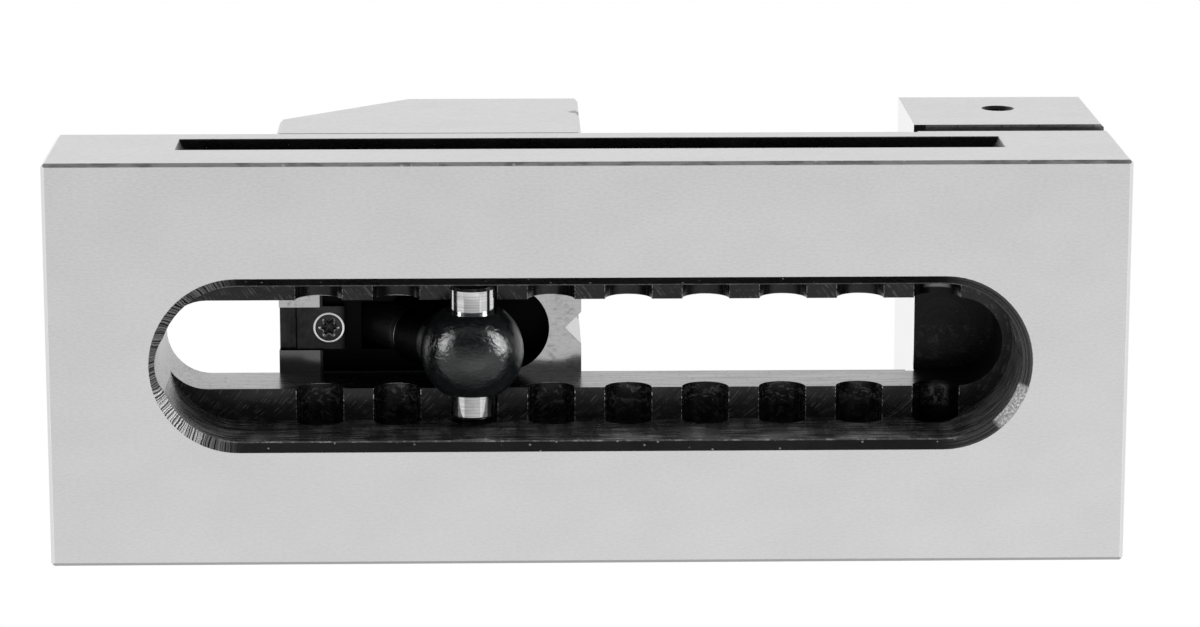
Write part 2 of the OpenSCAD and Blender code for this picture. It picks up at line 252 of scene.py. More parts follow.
@dataclass(frozen=True)
class Coat:
    """How a surface looks at each point: colour, roughness, share of bare metal, height in mm."""

    tree: Tree
    colour: Feed
    roughness: Number
    metal: Number
    height: Number

    def under(self, share: Value, top: "Coat") -> "Coat":
        """Lays another coat over this one.

        Args:
            share: 1 where the other coat covers, 0 where this one shows.
            top: The other coat.

        Returns:
            The two together.
        """
        tree = self.tree
        return Coat(
            tree,
            tree.tint(share, self.colour, top.colour),
            tree.blend(share, self.roughness, top.roughness),
            tree.blend(share, self.metal, top.metal),
            tree.blend(share, self.height, top.height),
        )

    def finish(self, sockets: Optional[Mapping[str, Feed]] = None) -> None:
        """Ends the material with a shader that takes the coat.

        Args:
            sockets: Constants for the shader's other inputs.
        """
        tree = self.tree
        feeds = {"Base Color": self.colour, "Roughness": self.roughness, "Metallic": self.metal}
        if isinstance(self.height, Value):
            bump = {"Strength": 1.0, "Distance": MM, "Height": self.height}
            feeds["Normal"] = tree.value("ShaderNodeBump", {}, bump)
        feeds.update(sockets or {})
        shader = tree.value("ShaderNodeBsdfPrincipled", {}, feeds)
        tree.add("ShaderNodeOutputMaterial", {}, {"Surface": shader})


@dataclass(frozen=True)
class GroundSteel:
    """Hardened steel off the surface grinder: short streaks along X and a faint cloudiness."""

    light: Colour = grey(0.77)
    dark: Colour = grey(0.65)
    roughness: float = 0.38
    depth: float = 0.0008

    def coat(self, tree: Tree) -> Coat:
        """The finish on a tree's own surface."""
        streak = tree.noise((1.15, 2.7, 2.7), 2.0, 0.6).rise(0.28, 0.72)
        cloud = tree.noise((0.06, 0.10, 0.10), 2.0).rise(0.30, 0.70)
        pore = tree.noise((1.6, 4.0, 4.0), 1.0).rise(0.62, 0.78)
        tone = 0.80 * streak + 0.20 * cloud
        colour = tree.tint(0.14 * pore, tree.tint(tone, self.dark, self.light), grey(0.40))
        return Coat(tree, colour, self.roughness + 0.06 * streak, 1.0, self.depth * streak)


# A finer grind: smoother, and painted near white as a highlight on the jaw faces.
FINE_GROUND_PAINTED_BRIGHT = GroundSteel(light=grey(0.97), dark=grey(0.90), roughness=0.16)


@dataclass(frozen=True)
class MilledSteel:
    """Bare milled steel that was not ground afterwards: darker, with fine cutter lines along X."""

    light: Colour = grey(0.43)
    dark: Colour = grey(0.16)
    roughness: float = 0.20
    depth: float = 0.003

    def coat(self, tree: Tree) -> Coat:
        """The finish on a tree's own surface."""
        line = tree.noise((0.10, 3.0, 3.0), 3.0, 0.6).rise(0.32, 0.68)
        spot = tree.noise((0.9, 1.1, 1.1), 4.0, 0.6).rise(0.54, 0.68)
        colour = tree.tint(0.65 * spot, tree.tint(line, self.dark, self.light), grey(0.08))
        return Coat(tree, colour, self.roughness + 0.10 * line, 1.0, self.depth * line)


@dataclass(frozen=True)
class BlackOxide:
    """Blackened steel with a film of oil: nearly black, with soft uneven gloss and a few pale specks."""

    dark: Colour = grey(0.003, -0.02)
    pale: Colour = grey(0.013, -0.02)
    roughness: float = 0.22
    depth: float = 0.003
    specks: float = 0.05

    def coat(self, tree: Tree) -> Coat:
        """The finish on a tree's own surface."""
        skin = tree.noise((1.1, 2.4, 2.4), 4.0, 0.6)
        film = tree.noise((0.12, 0.16, 0.16), 2.0).rise(0.35, 0.65)
        colour = tree.tint(skin.rise(0.35, 0.75), self.dark, self.pale)
        if self.specks:
            colour = tree.tint(tree.specks(0.70, self.specks), colour, grey(0.45))
        return Coat(tree, colour, self.roughness + 0.16 * film + 0.08 * skin, 0.0, self.depth * skin)


@dataclass(frozen=True)
class PolishedPin:
    """Hard pin ground between centres and polished: mirror bright, with faint rings round its axis Y."""

    light: Colour = grey(0.86, -0.003)
    dark: Colour = grey(0.58, -0.003)
    roughness: float = 0.06
    depth: float = 0.0006

    def coat(self, tree: Tree, middle: float) -> Coat:
        """The finish on a tree's own surface, darker along a line at one X as a painted dark reflection."""
        x, y, _ = tree.axes()
        ring = tree.noise((0.15, 9.0, 0.15), 3.0, 0.6).rise(0.30, 0.70)
        stain = tree.noise((0.5, 0.5, 0.5), 3.0).rise(0.55, 0.80)
        # Painted dark reflection: a band at the ball's X, full on the +Y pin and near the ball, weaker
        # further out along the -Y pin.
        near = ~abs(y).rise(9.4, 11.6) | (y > 0.0)
        film = ~abs(x - middle).rise(1.25, 1.65) & (0.35 + 0.65 * near)
        colour = tree.tint(0.5 * stain, tree.tint(ring, self.dark, self.light), grey(0.40))
        # The painted dark reflection turns the pin's colour dark grey there.
        colour = tree.tint(0.80 * film, colour, tree.tint(ring, grey(0.16), grey(0.30)))
        return Coat(tree, colour, self.roughness + 0.05 * ring + 0.10 * stain, 1.0, self.depth * ring)


class Side(Enum):
    """The two long sides of the vise."""

    LEFT = -1.0
    RIGHT = 1.0


def new_material(name: str) -> tuple[bpy.types.Material, Tree]:
    """An empty material and the tree that fills it."""
    material = bpy.data.materials.new(name)
    return material, Tree(material)


def dress(piece: bpy.types.Object, material: bpy.types.Material) -> None:
    """Puts one material on the whole of a piece."""
    if not piece.material_slots:
        piece.data.materials.append(material)
    for slot in piece.material_slots:
        slot.material = material
    LOG.info("dressed %s with %s", piece.name, material.name)


@dataclass(frozen=True)
class Axis:
    """A line that turned pieces are made on: a start point and the three directions of its own frame."""

    start: tuple[float, float, float]
    turn: np.ndarray

    def lathe(self, radii: np.ndarray, along: np.ndarray) -> np.ndarray:
        """Points of a turned surface.

        The point in row r and column c lies at distance along[r] from the start and at radius
        radii[r, c], turned by c parts of a whole turn.

        Args:
            radii: One radius for each row and column.
            along: One distance for each row.

        Returns:
            Points, as rows by columns by three, in millimetres.
        """
        angle = np.linspace(0.0, 2.0 * np.pi, radii.shape[1], endpoint=False)
        depth = np.broadcast_to(along[:, None], radii.shape)
        local = np.stack([radii * np.cos(angle), radii * np.sin(angle), depth], axis=2)
        return local @ self.turn.T + np.array(self.start)


def skin(name: str, points: np.ndarray, ring: bool, crease: float) -> bpy.types.Object:
    """A mesh over a grid of points that closes round its columns.

    Args:
        name: The piece's name.
        points: Rows by columns by three, in millimetres. Columns turn left about the way of the rows.
        ring: Whether the last row joins the first. If not, each end is closed by a fan to its middle.
        crease: The angle in degrees past which an edge stays sharp.

    Returns:
        The new object, at the origin.
    """
    rows, columns, _ = points.shape
    index = np.arange(rows * columns).reshape(rows, columns)
    lower = index if ring else index[:-1]
    upper = np.roll(index, -1, axis=0) if ring else index[1:]
    corners = [lower, np.roll(lower, -1, axis=1), np.roll(upper, -1, axis=1), upper]
    places = points.reshape(-1, 3)
    faces = np.stack(corners, axis=2).reshape(-1, 4).tolist()
    if not ring:
        middles = points[[0, -1]].mean(axis=1)
        first, last = index[0], index[-1]
        start = np.full(columns, rows * columns)
        faces += np.stack([np.roll(first, -1), first, start], axis=1).tolist()
        faces += np.stack([last, np.roll(last, -1), start + 1], axis=1).tolist()
        places = np.concatenate([places, middles])
    mesh = bpy.data.meshes.new(name)
    mesh.from_pydata((places * MM).tolist(), [], faces)
    mesh.polygons.foreach_set("use_smooth", np.ones(len(mesh.polygons), dtype=bool))
    mesh.set_sharp_from_angle(angle=np.radians(crease))
    mesh.update()
    piece = bpy.data.objects.new(name, mesh)
    bpy.context.scene.collection.objects.link(piece)
    LOG.info("built %s with %d faces", name, len(mesh.polygons))
    return piece


def thread_depth(turns: np.ndarray, depth: float) -> np.ndarray:
    """How deep a thread's flank lies under its crest.

    The depth grows straight from the crest, an eighth of the pitch wide, to a root a quarter wide.

    Args:
        turns: The place along the thread, in pitches.
        depth: The full depth.

    Returns:
        The depth at each place.
    """
    crest, root = 0.875, 0.25
    off = np.abs(2.0 * np.mod(turns, 1.0) - 1.0)
    return depth * np.clip((crest - off) / (crest - root), 0.0, 1.0)


@dataclass(frozen=True)
class Bed:
    """The one-piece body with the fixed jaw."""

    half_l: float = 96.0
    half_w: float = 36.5
    height: float = 30.5
    chamfer: float = 0.6
    jaw_face: float = 60.8
    middle: float = 0.55
    pocket_half: float = 62.65
    pocket_r: float = 14.1
    mouth: float = 1.7
    ledge: float = 17.5
    notch_top: float = 22.0
    notch_at: float = 48.4
    notch_pitch: float = 14.0
    notch_r: float = 4.25
    slot_middle: float = -0.65
    slot_half: float = 68.05
    slot_r: float = 8.2
    slot_top: float = 31.3
    slot_rear: float = -74.0
    groove_z: float = 19.3
    groove_half: float = 5.7
    groove_floor: float = 29.0
    groove_middle: float = 0.75
    groove_reach: float = 74.3
    relief_top: float = 37.5
    relief_floor: float = 34.5
    undercut: float = 1.6
    stop_x: float = 78.4
    stop_z: float = 55.5
    stop_r: float = 2.5
    stop_depth: float = 14.0
    thread_h: float = 0.32
    thread_start: float = 0.75
    thread_left: float = 0.9
    thread_step: float = 0.1
    thread_columns: int = 48
    cutter_square: float = 260.0
    roof_x: float = 66.0
    slack: float = 0.06
    hair: float = 0.02

    def oval(self, tree: Tree, middle: float, half: float, radius: float) -> Value:
        """Distance outside a round-ended outline along X: that to its middle line, less the radius."""
        x, y, _ = tree.axes()
        past = (abs(x - middle) - half).least(0.0)
        return (past * past + y * y) ** 0.5 - radius

    def blotch(self, tree: Tree) -> Value:
        """Uneven patches where the black has worn thin."""
        return tree.noise((0.55, 0.9, 0.7), 4.0, 0.7, 0.8).rise(0.50, 0.66)

    def pocket_walls(self, tree: Tree) -> Coat:
        """Black walls with an uneven painted sheen, and turning streaks round the ends of the lower one,
        painted light as a sheen.
        """
        x, y, z = tree.axes()
        wall = z < self.ledge - 0.1
        streak = tree.noise((0.12, 0.12, 1.6), 3.0, 0.6).rise(0.35, 0.65)
        patchy = tree.noise((0.30, 0.30, 0.06), 3.0, 0.6).rise(0.40, 0.70)
        end = abs(x - self.middle).rise(self.pocket_half + 2.0, self.pocket_half + 9.0)
        base = BlackOxide(roughness=0.14).coat(tree)
        # Painted sheen: light grey on the black walls, in uneven patches.
        tone = tree.tint(streak, grey(0.06), grey(0.56))
        sheen = Coat(tree, tone, 0.12 + 0.12 * streak, 0.40, base.height + 0.004 * streak)
        base = base.under(wall & (0.20 + 0.75 * patchy), sheen)
        # Turning streaks round the lower wall's ends, painted light grey as a sheen.
        tone = tree.tint(streak, grey(0.07), grey(0.36))
        turned = Coat(tree, tone, 0.24, 0.55, base.height + 0.004 * streak)
        return base.under(wall & (y > 0.0) & (end * (0.20 + 0.60 * streak)), turned)

    def pocket_marks(self, tree: Tree, base: Coat) -> Coat:
        """Adds cutter arcs on the ledges, rings on the roof, lines on the walls, worn notches."""
        x, y, z = tree.axes()
        uneven = tree.noise((0.5, 0.9, 0.9), 3.0)
        broken = uneven.rise(0.42, 0.62)
        level = z.within(self.ledge - self.slack, self.ledge + self.slack)
        roof = z > self.slot_top - self.slack
        sweep = x - (self.cutter_square - y * y) ** 0.5
        out = ((x - self.roof_x) ** 2.0 + y * y) ** 0.5
        arcs = tree.line_noise(sweep * 1.7 + uneven * 0.6, 2.0).rise(0.46, 0.66)
        ring = tree.line_noise(out * 1.5 + uneven * 0.3, 2.0).rise(0.48, 0.70)
        line = tree.line_noise(z * 2.2 + uneven * 1.2, 2.0).rise(0.50, 0.70)
        recess = (z > self.ledge + 0.1) & (y > 0.0) & (self.blotch(tree) * 0.60)
        flat = (level & (arcs * 0.80 * broken)) | (roof & (ring * 0.16))
        marks = flat | (~(level | roof) & (line * 0.40)) | recess
        worn = Coat(tree, grey(0.12, 0.01), 0.30, 0.35, base.height + 0.003)
        return base.under(marks * (0.25 + uneven), worn)

    def pocket_coat(self, tree: Tree) -> Coat:
        """The black pocket with its cutter marks and painted shade beyond the fixed jaw, bare spots on the
        notches, a painted glint in the last notch of the -Y rail, and notch edges worn bare and painted
        bright as glints.
        """
        x, y, z = tree.axes()
        coat = self.pocket_marks(tree, self.pocket_walls(tree))
        # Painted shade: beyond the fixed jaw's face, above the ledge, the black goes flat with almost no
        # reflection.
        dull = (z > self.ledge + 0.1) & (x > self.jaw_face)
        coat = coat.under(dull * 0.65, Coat(tree, grey(0.005), 0.34, 1.0, coat.height))
        notch = tree.math("PINGPONG", x + self.notch_at, 0.5 * self.notch_pitch)
        # Notch edges: worn bare and painted bright as glints, in broken dots, brighter towards +Y.
        rub = tree.noise((0.9, 1.7, 0.9), 3.0, 0.6).rise(0.47, 0.59) & (y.rise(-1.0, 1.0) * 0.6 + 0.4)
        lip = (abs(notch - self.notch_r) < 0.11) & z.within(self.ledge - 0.08, self.ledge + 0.8)
        lip = lip & rub & x.within(-53.0, 68.5)
        scuff = tree.noise((0.8, 0.8, 0.8), 5.0, 0.75, 1.0).rise(0.42, 0.70)
        deep = z > self.ledge + 1.6
        patch = scuff & x.band((60.9, 62.2), (64.6, 66.8)) & y.band((8.6, 9.6), (11.2, 13.2)) & deep
        # Painted glint: a light strip in the last notch of the -Y rail.
        painted_glint_bar = x.band((61.2, 62.0), (65.6, 66.6)) & y.band((-10.4, -10.1), (-9.5, -9.2)) & deep
        smear = (self.blotch(tree) * 0.75) & y.band((8.3, 8.8), (10.2, 12.4))
        smear = smear & (z > self.ledge + 1.0) & (x < self.jaw_face)
        coat = coat.under(smear, Coat(tree, grey(0.20), 0.36, 0.7, coat.height))
        # The bare patch and the painted glint share one light grey.
        coat = coat.under((patch * 0.8) | (painted_glint_bar * 0.7), Coat(tree, grey(0.30), 0.45, 0.8, coat.height))
        return coat.under(lip, Coat(tree, grey(0.55), 0.25, 1.0, coat.height))

    def mouth_coat(self, tree: Tree) -> Coat:
        """The pocket's chamfer: black along the straights; at the ends, bare metal with radial chatter,
        painted near white as a highlight over a band of angles.
        """
        x, y, z = tree.axes()
        bend = tree.math("ARCTAN2", y, abs(x - self.middle) - self.pocket_half)
        rear = x < self.middle
        wander = tree.noise((0.35, 0.35, 0.35), 2.0)
        chatter = tree.line_noise(bend * 42.0 + z * 0.35 + wander * 2.4, 3.0).rise(0.44, 0.54)
        mottle = tree.noise((2.2, 2.2, 2.2), 4.0, 0.65).rise(0.30, 0.66)
        turn = tree.line_noise(z * 5.0 + bend * 0.5, 2.0).rise(0.35, 0.65)
        # Painted highlight: round each end the bare metal shows strongly only over a band of angles, where
        # the chamfer catches the light.
        rear_highlight_band = bend.band((0.24, 0.34), (1.08, 1.18))
        back = tree.blend(rear_highlight_band, 0.30 * chatter, 0.12 + 0.88 * chatter)
        front_highlight_band = bend.band((0.26, 0.32), (0.84, 0.90))
        front = tree.blend(front_highlight_band, 0.16 * turn, 0.50 + 0.40 * mottle)
        share = tree.blend(rear, front, back)
        end = abs(x - self.middle).rise(self.pocket_half - 1.0, self.pocket_half + 5.0)
        dark = BlackOxide(specks=0.0, roughness=0.18).coat(tree)
        # The bare metal's tone is painted near white, as a highlight.
        tone = tree.blend(rear, 0.62 + 0.30 * mottle, 0.70 + 0.30 * chatter)
        shade = tree.value("ShaderNodeCombineColor", {}, {0: tone, 1: tone, 2: tone})
        bare = Coat(tree, shade, 0.22 + 0.12 * turn, 1.0, 0.006 * turn + 0.020 * mottle)
        wear = tree.noise((0.6, 0.6, 0.6), 4.0, 0.7).rise(0.45, 0.65)
        edge = ((z > self.mouth - 0.22) & (0.2 + 0.6 * wear)) | (tree.specks(0.5, 0.13) * 0.8)
        dark = dark.under(~end & edge, Coat(tree, grey(0.55), 0.30, 0.9, dark.height))
        return dark.under(end * share, bare)

    def edge_coat(self, tree: Tree, body: Coat) -> Coat:
        """The outer chamfers, with small nicks: painted highlight near white at the ends and corners, and
        painted shade along the base's long edges, deeper on the -Y side.
        """
        x, y, z = tree.axes()
        side = self.half_w - abs(y)
        end = self.half_l - abs(x)
        reach = self.chamfer + 0.05
        patch = tree.noise((0.25, 0.7, 0.7), 3.0, 0.6).rise(0.42, 0.66)
        nick = tree.specks(0.45, 0.16)
        # Painted shade on the long chamfers: mottled dark grey, with light nicks.
        shade = tree.tint(patch, grey(0.34), grey(0.20))
        shade = tree.tint(0.6 * nick, shade, grey(0.66))
        # Painted highlight: the end and corner chamfers near white.
        short = (end + z < reach) | (side + end < reach)
        coat = body.under(short, Coat(tree, grey(0.86), 0.30, 1.0, body.height))
        # Lighter painted shade on the +Y side.
        shade = tree.tint(y > 0.0, shade, grey(0.50))
        return coat.under(side + z < reach, Coat(tree, shade, 0.36, 1.0, body.height - 0.002 * patch))

    def groove_coat(self, tree: Tree, body: Coat) -> Coat:
        """Adds the clamp grooves: light end walls, with a black ceiling, floor and back."""
        x, y, z = tree.axes()
        across = abs(y)
        off = abs(z - self.groove_z)
        trough = (off < self.groove_half + self.hair) & (across > self.groove_floor - 0.1)
        trough = trough & (abs(x - self.groove_middle) < self.groove_reach)
        trough = trough & (self.half_w - across).rise(0.03, 0.22)
        plain = (off > self.groove_half - self.slack) | (across < self.groove_floor + 0.1)
        walls = MilledSteel(light=grey(0.42), dark=grey(0.24), roughness=0.30)
        black = BlackOxide(dark=grey(0.003), pale=grey(0.016), specks=0.05)
        return body.under(trough, walls.coat(tree)).under(trough & plain, black.coat(tree))

    def relief_coat(self, tree: Tree, body: Coat) -> Coat:
        """Adds the relief along the fixed jaw's sides and the undercut at the foot of its face."""
        x, y, z = tree.axes()
        across = abs(y)
        slot = self.oval(tree, self.slot_middle, self.slot_half, self.slot_r)
        near = self.jaw_face + 2.2
        skirt = self.half_w - self.hair
        relief = z.within(self.height + 0.03, self.relief_top + 0.04)
        relief = relief & across.within(self.relief_floor - 0.1, skirt)
        relief = relief & x.within(self.jaw_face + self.hair, self.half_l - 0.05)
        under = x.within(self.jaw_face - self.undercut - self.hair, self.jaw_face - self.hair)
        under = under & z.within(self.height - 1.2, self.height - self.hair)
        under = under & ~(slot < self.slack) & (across < skirt)
        # Painted highlight and shade: a lighter outer edge over a darker strip of the same milled steel,
        # and black oxide by the jaw face and in the undercut as painted shade.
        lip = (self.half_w - across).rise(0.25, 0.60) | (x < near)
        shade = MilledSteel(light=grey(0.40), dark=grey(0.28), roughness=0.34).coat(tree)
        shade = shade.under(lip, MilledSteel(light=grey(0.20), dark=grey(0.12), roughness=0.30).coat(tree))
        shade = shade.under(x < near, BlackOxide(specks=0.0).coat(tree))
        return body.under(relief | under, shade)

    def coat(self, tree: Tree) -> Coat:
        """The whole body: ground outside, milled slot, black pocket and grooves, chamfers with nicks and
        painted highlight and shade.
        """
        x, y, z = tree.axes()
        pocket = self.oval(tree, self.middle, self.pocket_half, self.pocket_r)
        slot = self.oval(tree, self.slot_middle, self.slot_half, self.slot_r)
        across = abs(y)
        ground = GroundSteel().coat(tree)
        milled = MilledSteel().coat(tree)
        skirt = self.half_w - self.hair
        wall = z.within(0.05, self.height - self.hair) & (abs(slot) < self.slack)
        wall = wall & ((z > self.ledge + 0.05) | (x < self.slot_rear))
        coat = ground.under(wall, milled)
        # Painted shade: the slot's walls and roof under the fixed jaw take the black pocket coat.
        blind = z.within(self.ledge, self.slot_top + 0.1) & (slot < self.slack) & (x > self.jaw_face + 0.04)
        inside = z.within(0.03, self.notch_top) & (pocket < 1.9) & ~wall
        coat = coat.under(inside | blind, self.pocket_coat(tree))
        chamfer = z.within(self.hair, self.mouth + 0.05) & (slot > self.slack)
        chamfer = chamfer & pocket.within(-self.slack, self.mouth + 0.05)
        coat = coat.under(chamfer, self.mouth_coat(tree))
        coat = self.relief_coat(tree, self.groove_coat(tree, coat))
        # Painted shade: the tapped holes, and a ring round their mouths, in near-black milled steel.
        out = ((x - self.stop_x) ** 2.0 + (z - self.stop_z) ** 2.0) ** 0.5
        hole = (out < self.stop_r + 0.8) & (across < skirt)
        coat = coat.under(hole, MilledSteel(light=grey(0.03), dark=grey(0.01)).coat(tree))
        # The fixed jaw's face: finer grind, painted near white as a highlight.
        face = (abs(x - self.jaw_face) < 0.05) & (z > self.height + 0.1)
        return self.edge_coat(tree, coat.under(face, FINE_GROUND_PAINTED_BRIGHT.coat(tree)))

    def dress(self, node: bpy.types.Object) -> None:
        """Finishes the body's solid."""
        material, tree = new_material("bed_steel")
        self.coat(tree).finish({"Specular IOR Level": 0.30})
        dress(node, material)

    def stop_thread(self, side: Side) -> bpy.types.Object:
        """The thread in one tapped hole.

        A thin sleeve lies on the bore's wall. Its inner side is the bore's radius less the thread's
        height, which repeats each millimetre of depth and moves round once with it.

        Args:
            side: The side of the vise that the hole opens on.

        Returns:
            The sleeve.
        """
        depth = np.arange(self.thread_start, self.stop_depth - self.thread_left, self.thread_step)
        angle = np.linspace(0.0, 1.0, self.thread_columns, endpoint=False)
        inward = depth[::-1, None]
        ridge = self.thread_h - thread_depth(inward - angle, self.thread_h)
        fade = np.clip(inward - self.thread_start, 0.0, 1.0)
        inner = self.stop_r - 0.01 - ridge * fade
        outer = np.full((2, self.thread_columns), self.stop_r + 0.05)
        along = np.concatenate([depth[[0, -1]], depth[::-1]])
        s = side.value
        turn = np.array([[1.0, 0.0, 0.0], [0.0, 0.0, -s], [0.0, s, 0.0]])
        line = Axis((self.stop_x, s * self.half_w, self.stop_z), turn)
        name = side.name.lower()
        points = line.lathe(np.concatenate([outer, inner]), along)
        piece = skin(f"stop_thread_{name}", points, True, 30.0)
        material, tree = new_material(f"tapped_thread_{name}")
        # Painted shade: the thread in near-black milled steel.
        MilledSteel(light=grey(0.06), dark=grey(0.02)).coat(tree).finish()
        dress(piece, material)
        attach(piece, "bed")
        return piece


@dataclass(frozen=True)
class SlidingJaw:
    """The movable jaw: ground outside, a black cavity under it and a turned counterbore in its slope."""

    back: float = -56.3
    face: float = -0.7
    half_w: float = 36.5
    foot: float = 30.55
    top: float = 69.0
    cavity_half: float = 8.0
    cavity_front: float = -6.6
    cavity_top: float = 40.6
    pivot_x: float = -50.3573
    pivot_z: float = 54.3549
    seat_r: float = 9.25
    bolt_deg: float = 55.0

    def coat(self, tree: Tree) -> Coat:
        """Ground faces, black cavity, milled counterbore and V grooves, with painted shade in the cavity,
        the counterbore and the foot's rear corner, and a painted highlight on the front.
        """
        x, y, z = tree.axes()
        across = abs(y)
        lean = np.radians(self.bolt_deg)
        coat = GroundSteel().coat(tree)
        off = (x - self.pivot_x) * float(np.sin(lean)) + (z - self.pivot_z) * float(np.cos(lean))
        radial = (off * off + y * y) ** 0.5
        # Painted shade: the counterbore in a darker milled steel.
        bore = (radial < self.seat_r + 0.04) & (x < self.cavity_front)
        bore = bore & z.within(self.cavity_top, self.top - 0.02)
        coat = coat.under(bore, MilledSteel(light=grey(0.34), dark=grey(0.18)).coat(tree))
        foot = z < self.foot + 0.03
        coat = coat.under(foot, GroundSteel(light=grey(0.42), dark=grey(0.33), roughness=0.12).coat(tree))
        # Stains on the foot, and painted shade over its rear corner towards +Y.
        stain = tree.noise((0.5, 0.7, 0.7), 4.0, 0.65).rise(0.52, 0.72)
        painted_shade_corner = foot & (x < self.back + 11.0) & y.rise(-2.0, 2.0)
        stain_and_painted_shade = (foot & (stain * 0.45)) | (painted_shade_corner * 0.9)
        coat = coat.under(stain_and_painted_shade, Coat(tree, grey(0.06), 0.16, 1.0, coat.height))
        lip = foot & x.within(self.back + 7.5, self.cavity_front - 8.0) & (across < self.cavity_half + 1.5)
        coat = coat.under(lip, BlackOxide(specks=0.0).coat(tree))
        # The front: finer grind, painted near white as a highlight.
        front = (x > self.face - 3.2) & (x > self.face - 0.03 - 6.0 * foot)
        front = front & z.within(self.foot + 0.03, self.top - 0.02) & (across < self.half_w - 0.7)
        coat = coat.under(front, FINE_GROUND_PAINTED_BRIGHT.coat(tree))
        cavity = x.within(self.back + 0.05, self.cavity_front + 0.03) & (across < self.cavity_half + 0.05)
        cavity = cavity & z.within(self.foot + 0.04, self.cavity_top)
        black = BlackOxide(specks=0.0).coat(tree)
        # Painted shade: most of the cavity in a flat black with almost no reflection.
        dull = Coat(tree, grey(0.003), 0.36, 1.0, black.height)
        return coat.under(cavity, black.under(cavity * 0.95, dull))

    def dress(self, node: bpy.types.Object) -> None:
        """Finishes the jaw's solid."""
        material, tree = new_material("jaw_steel")
        self.coat(tree).finish({"Specular IOR Level": 0.30})
        dress(node, material)


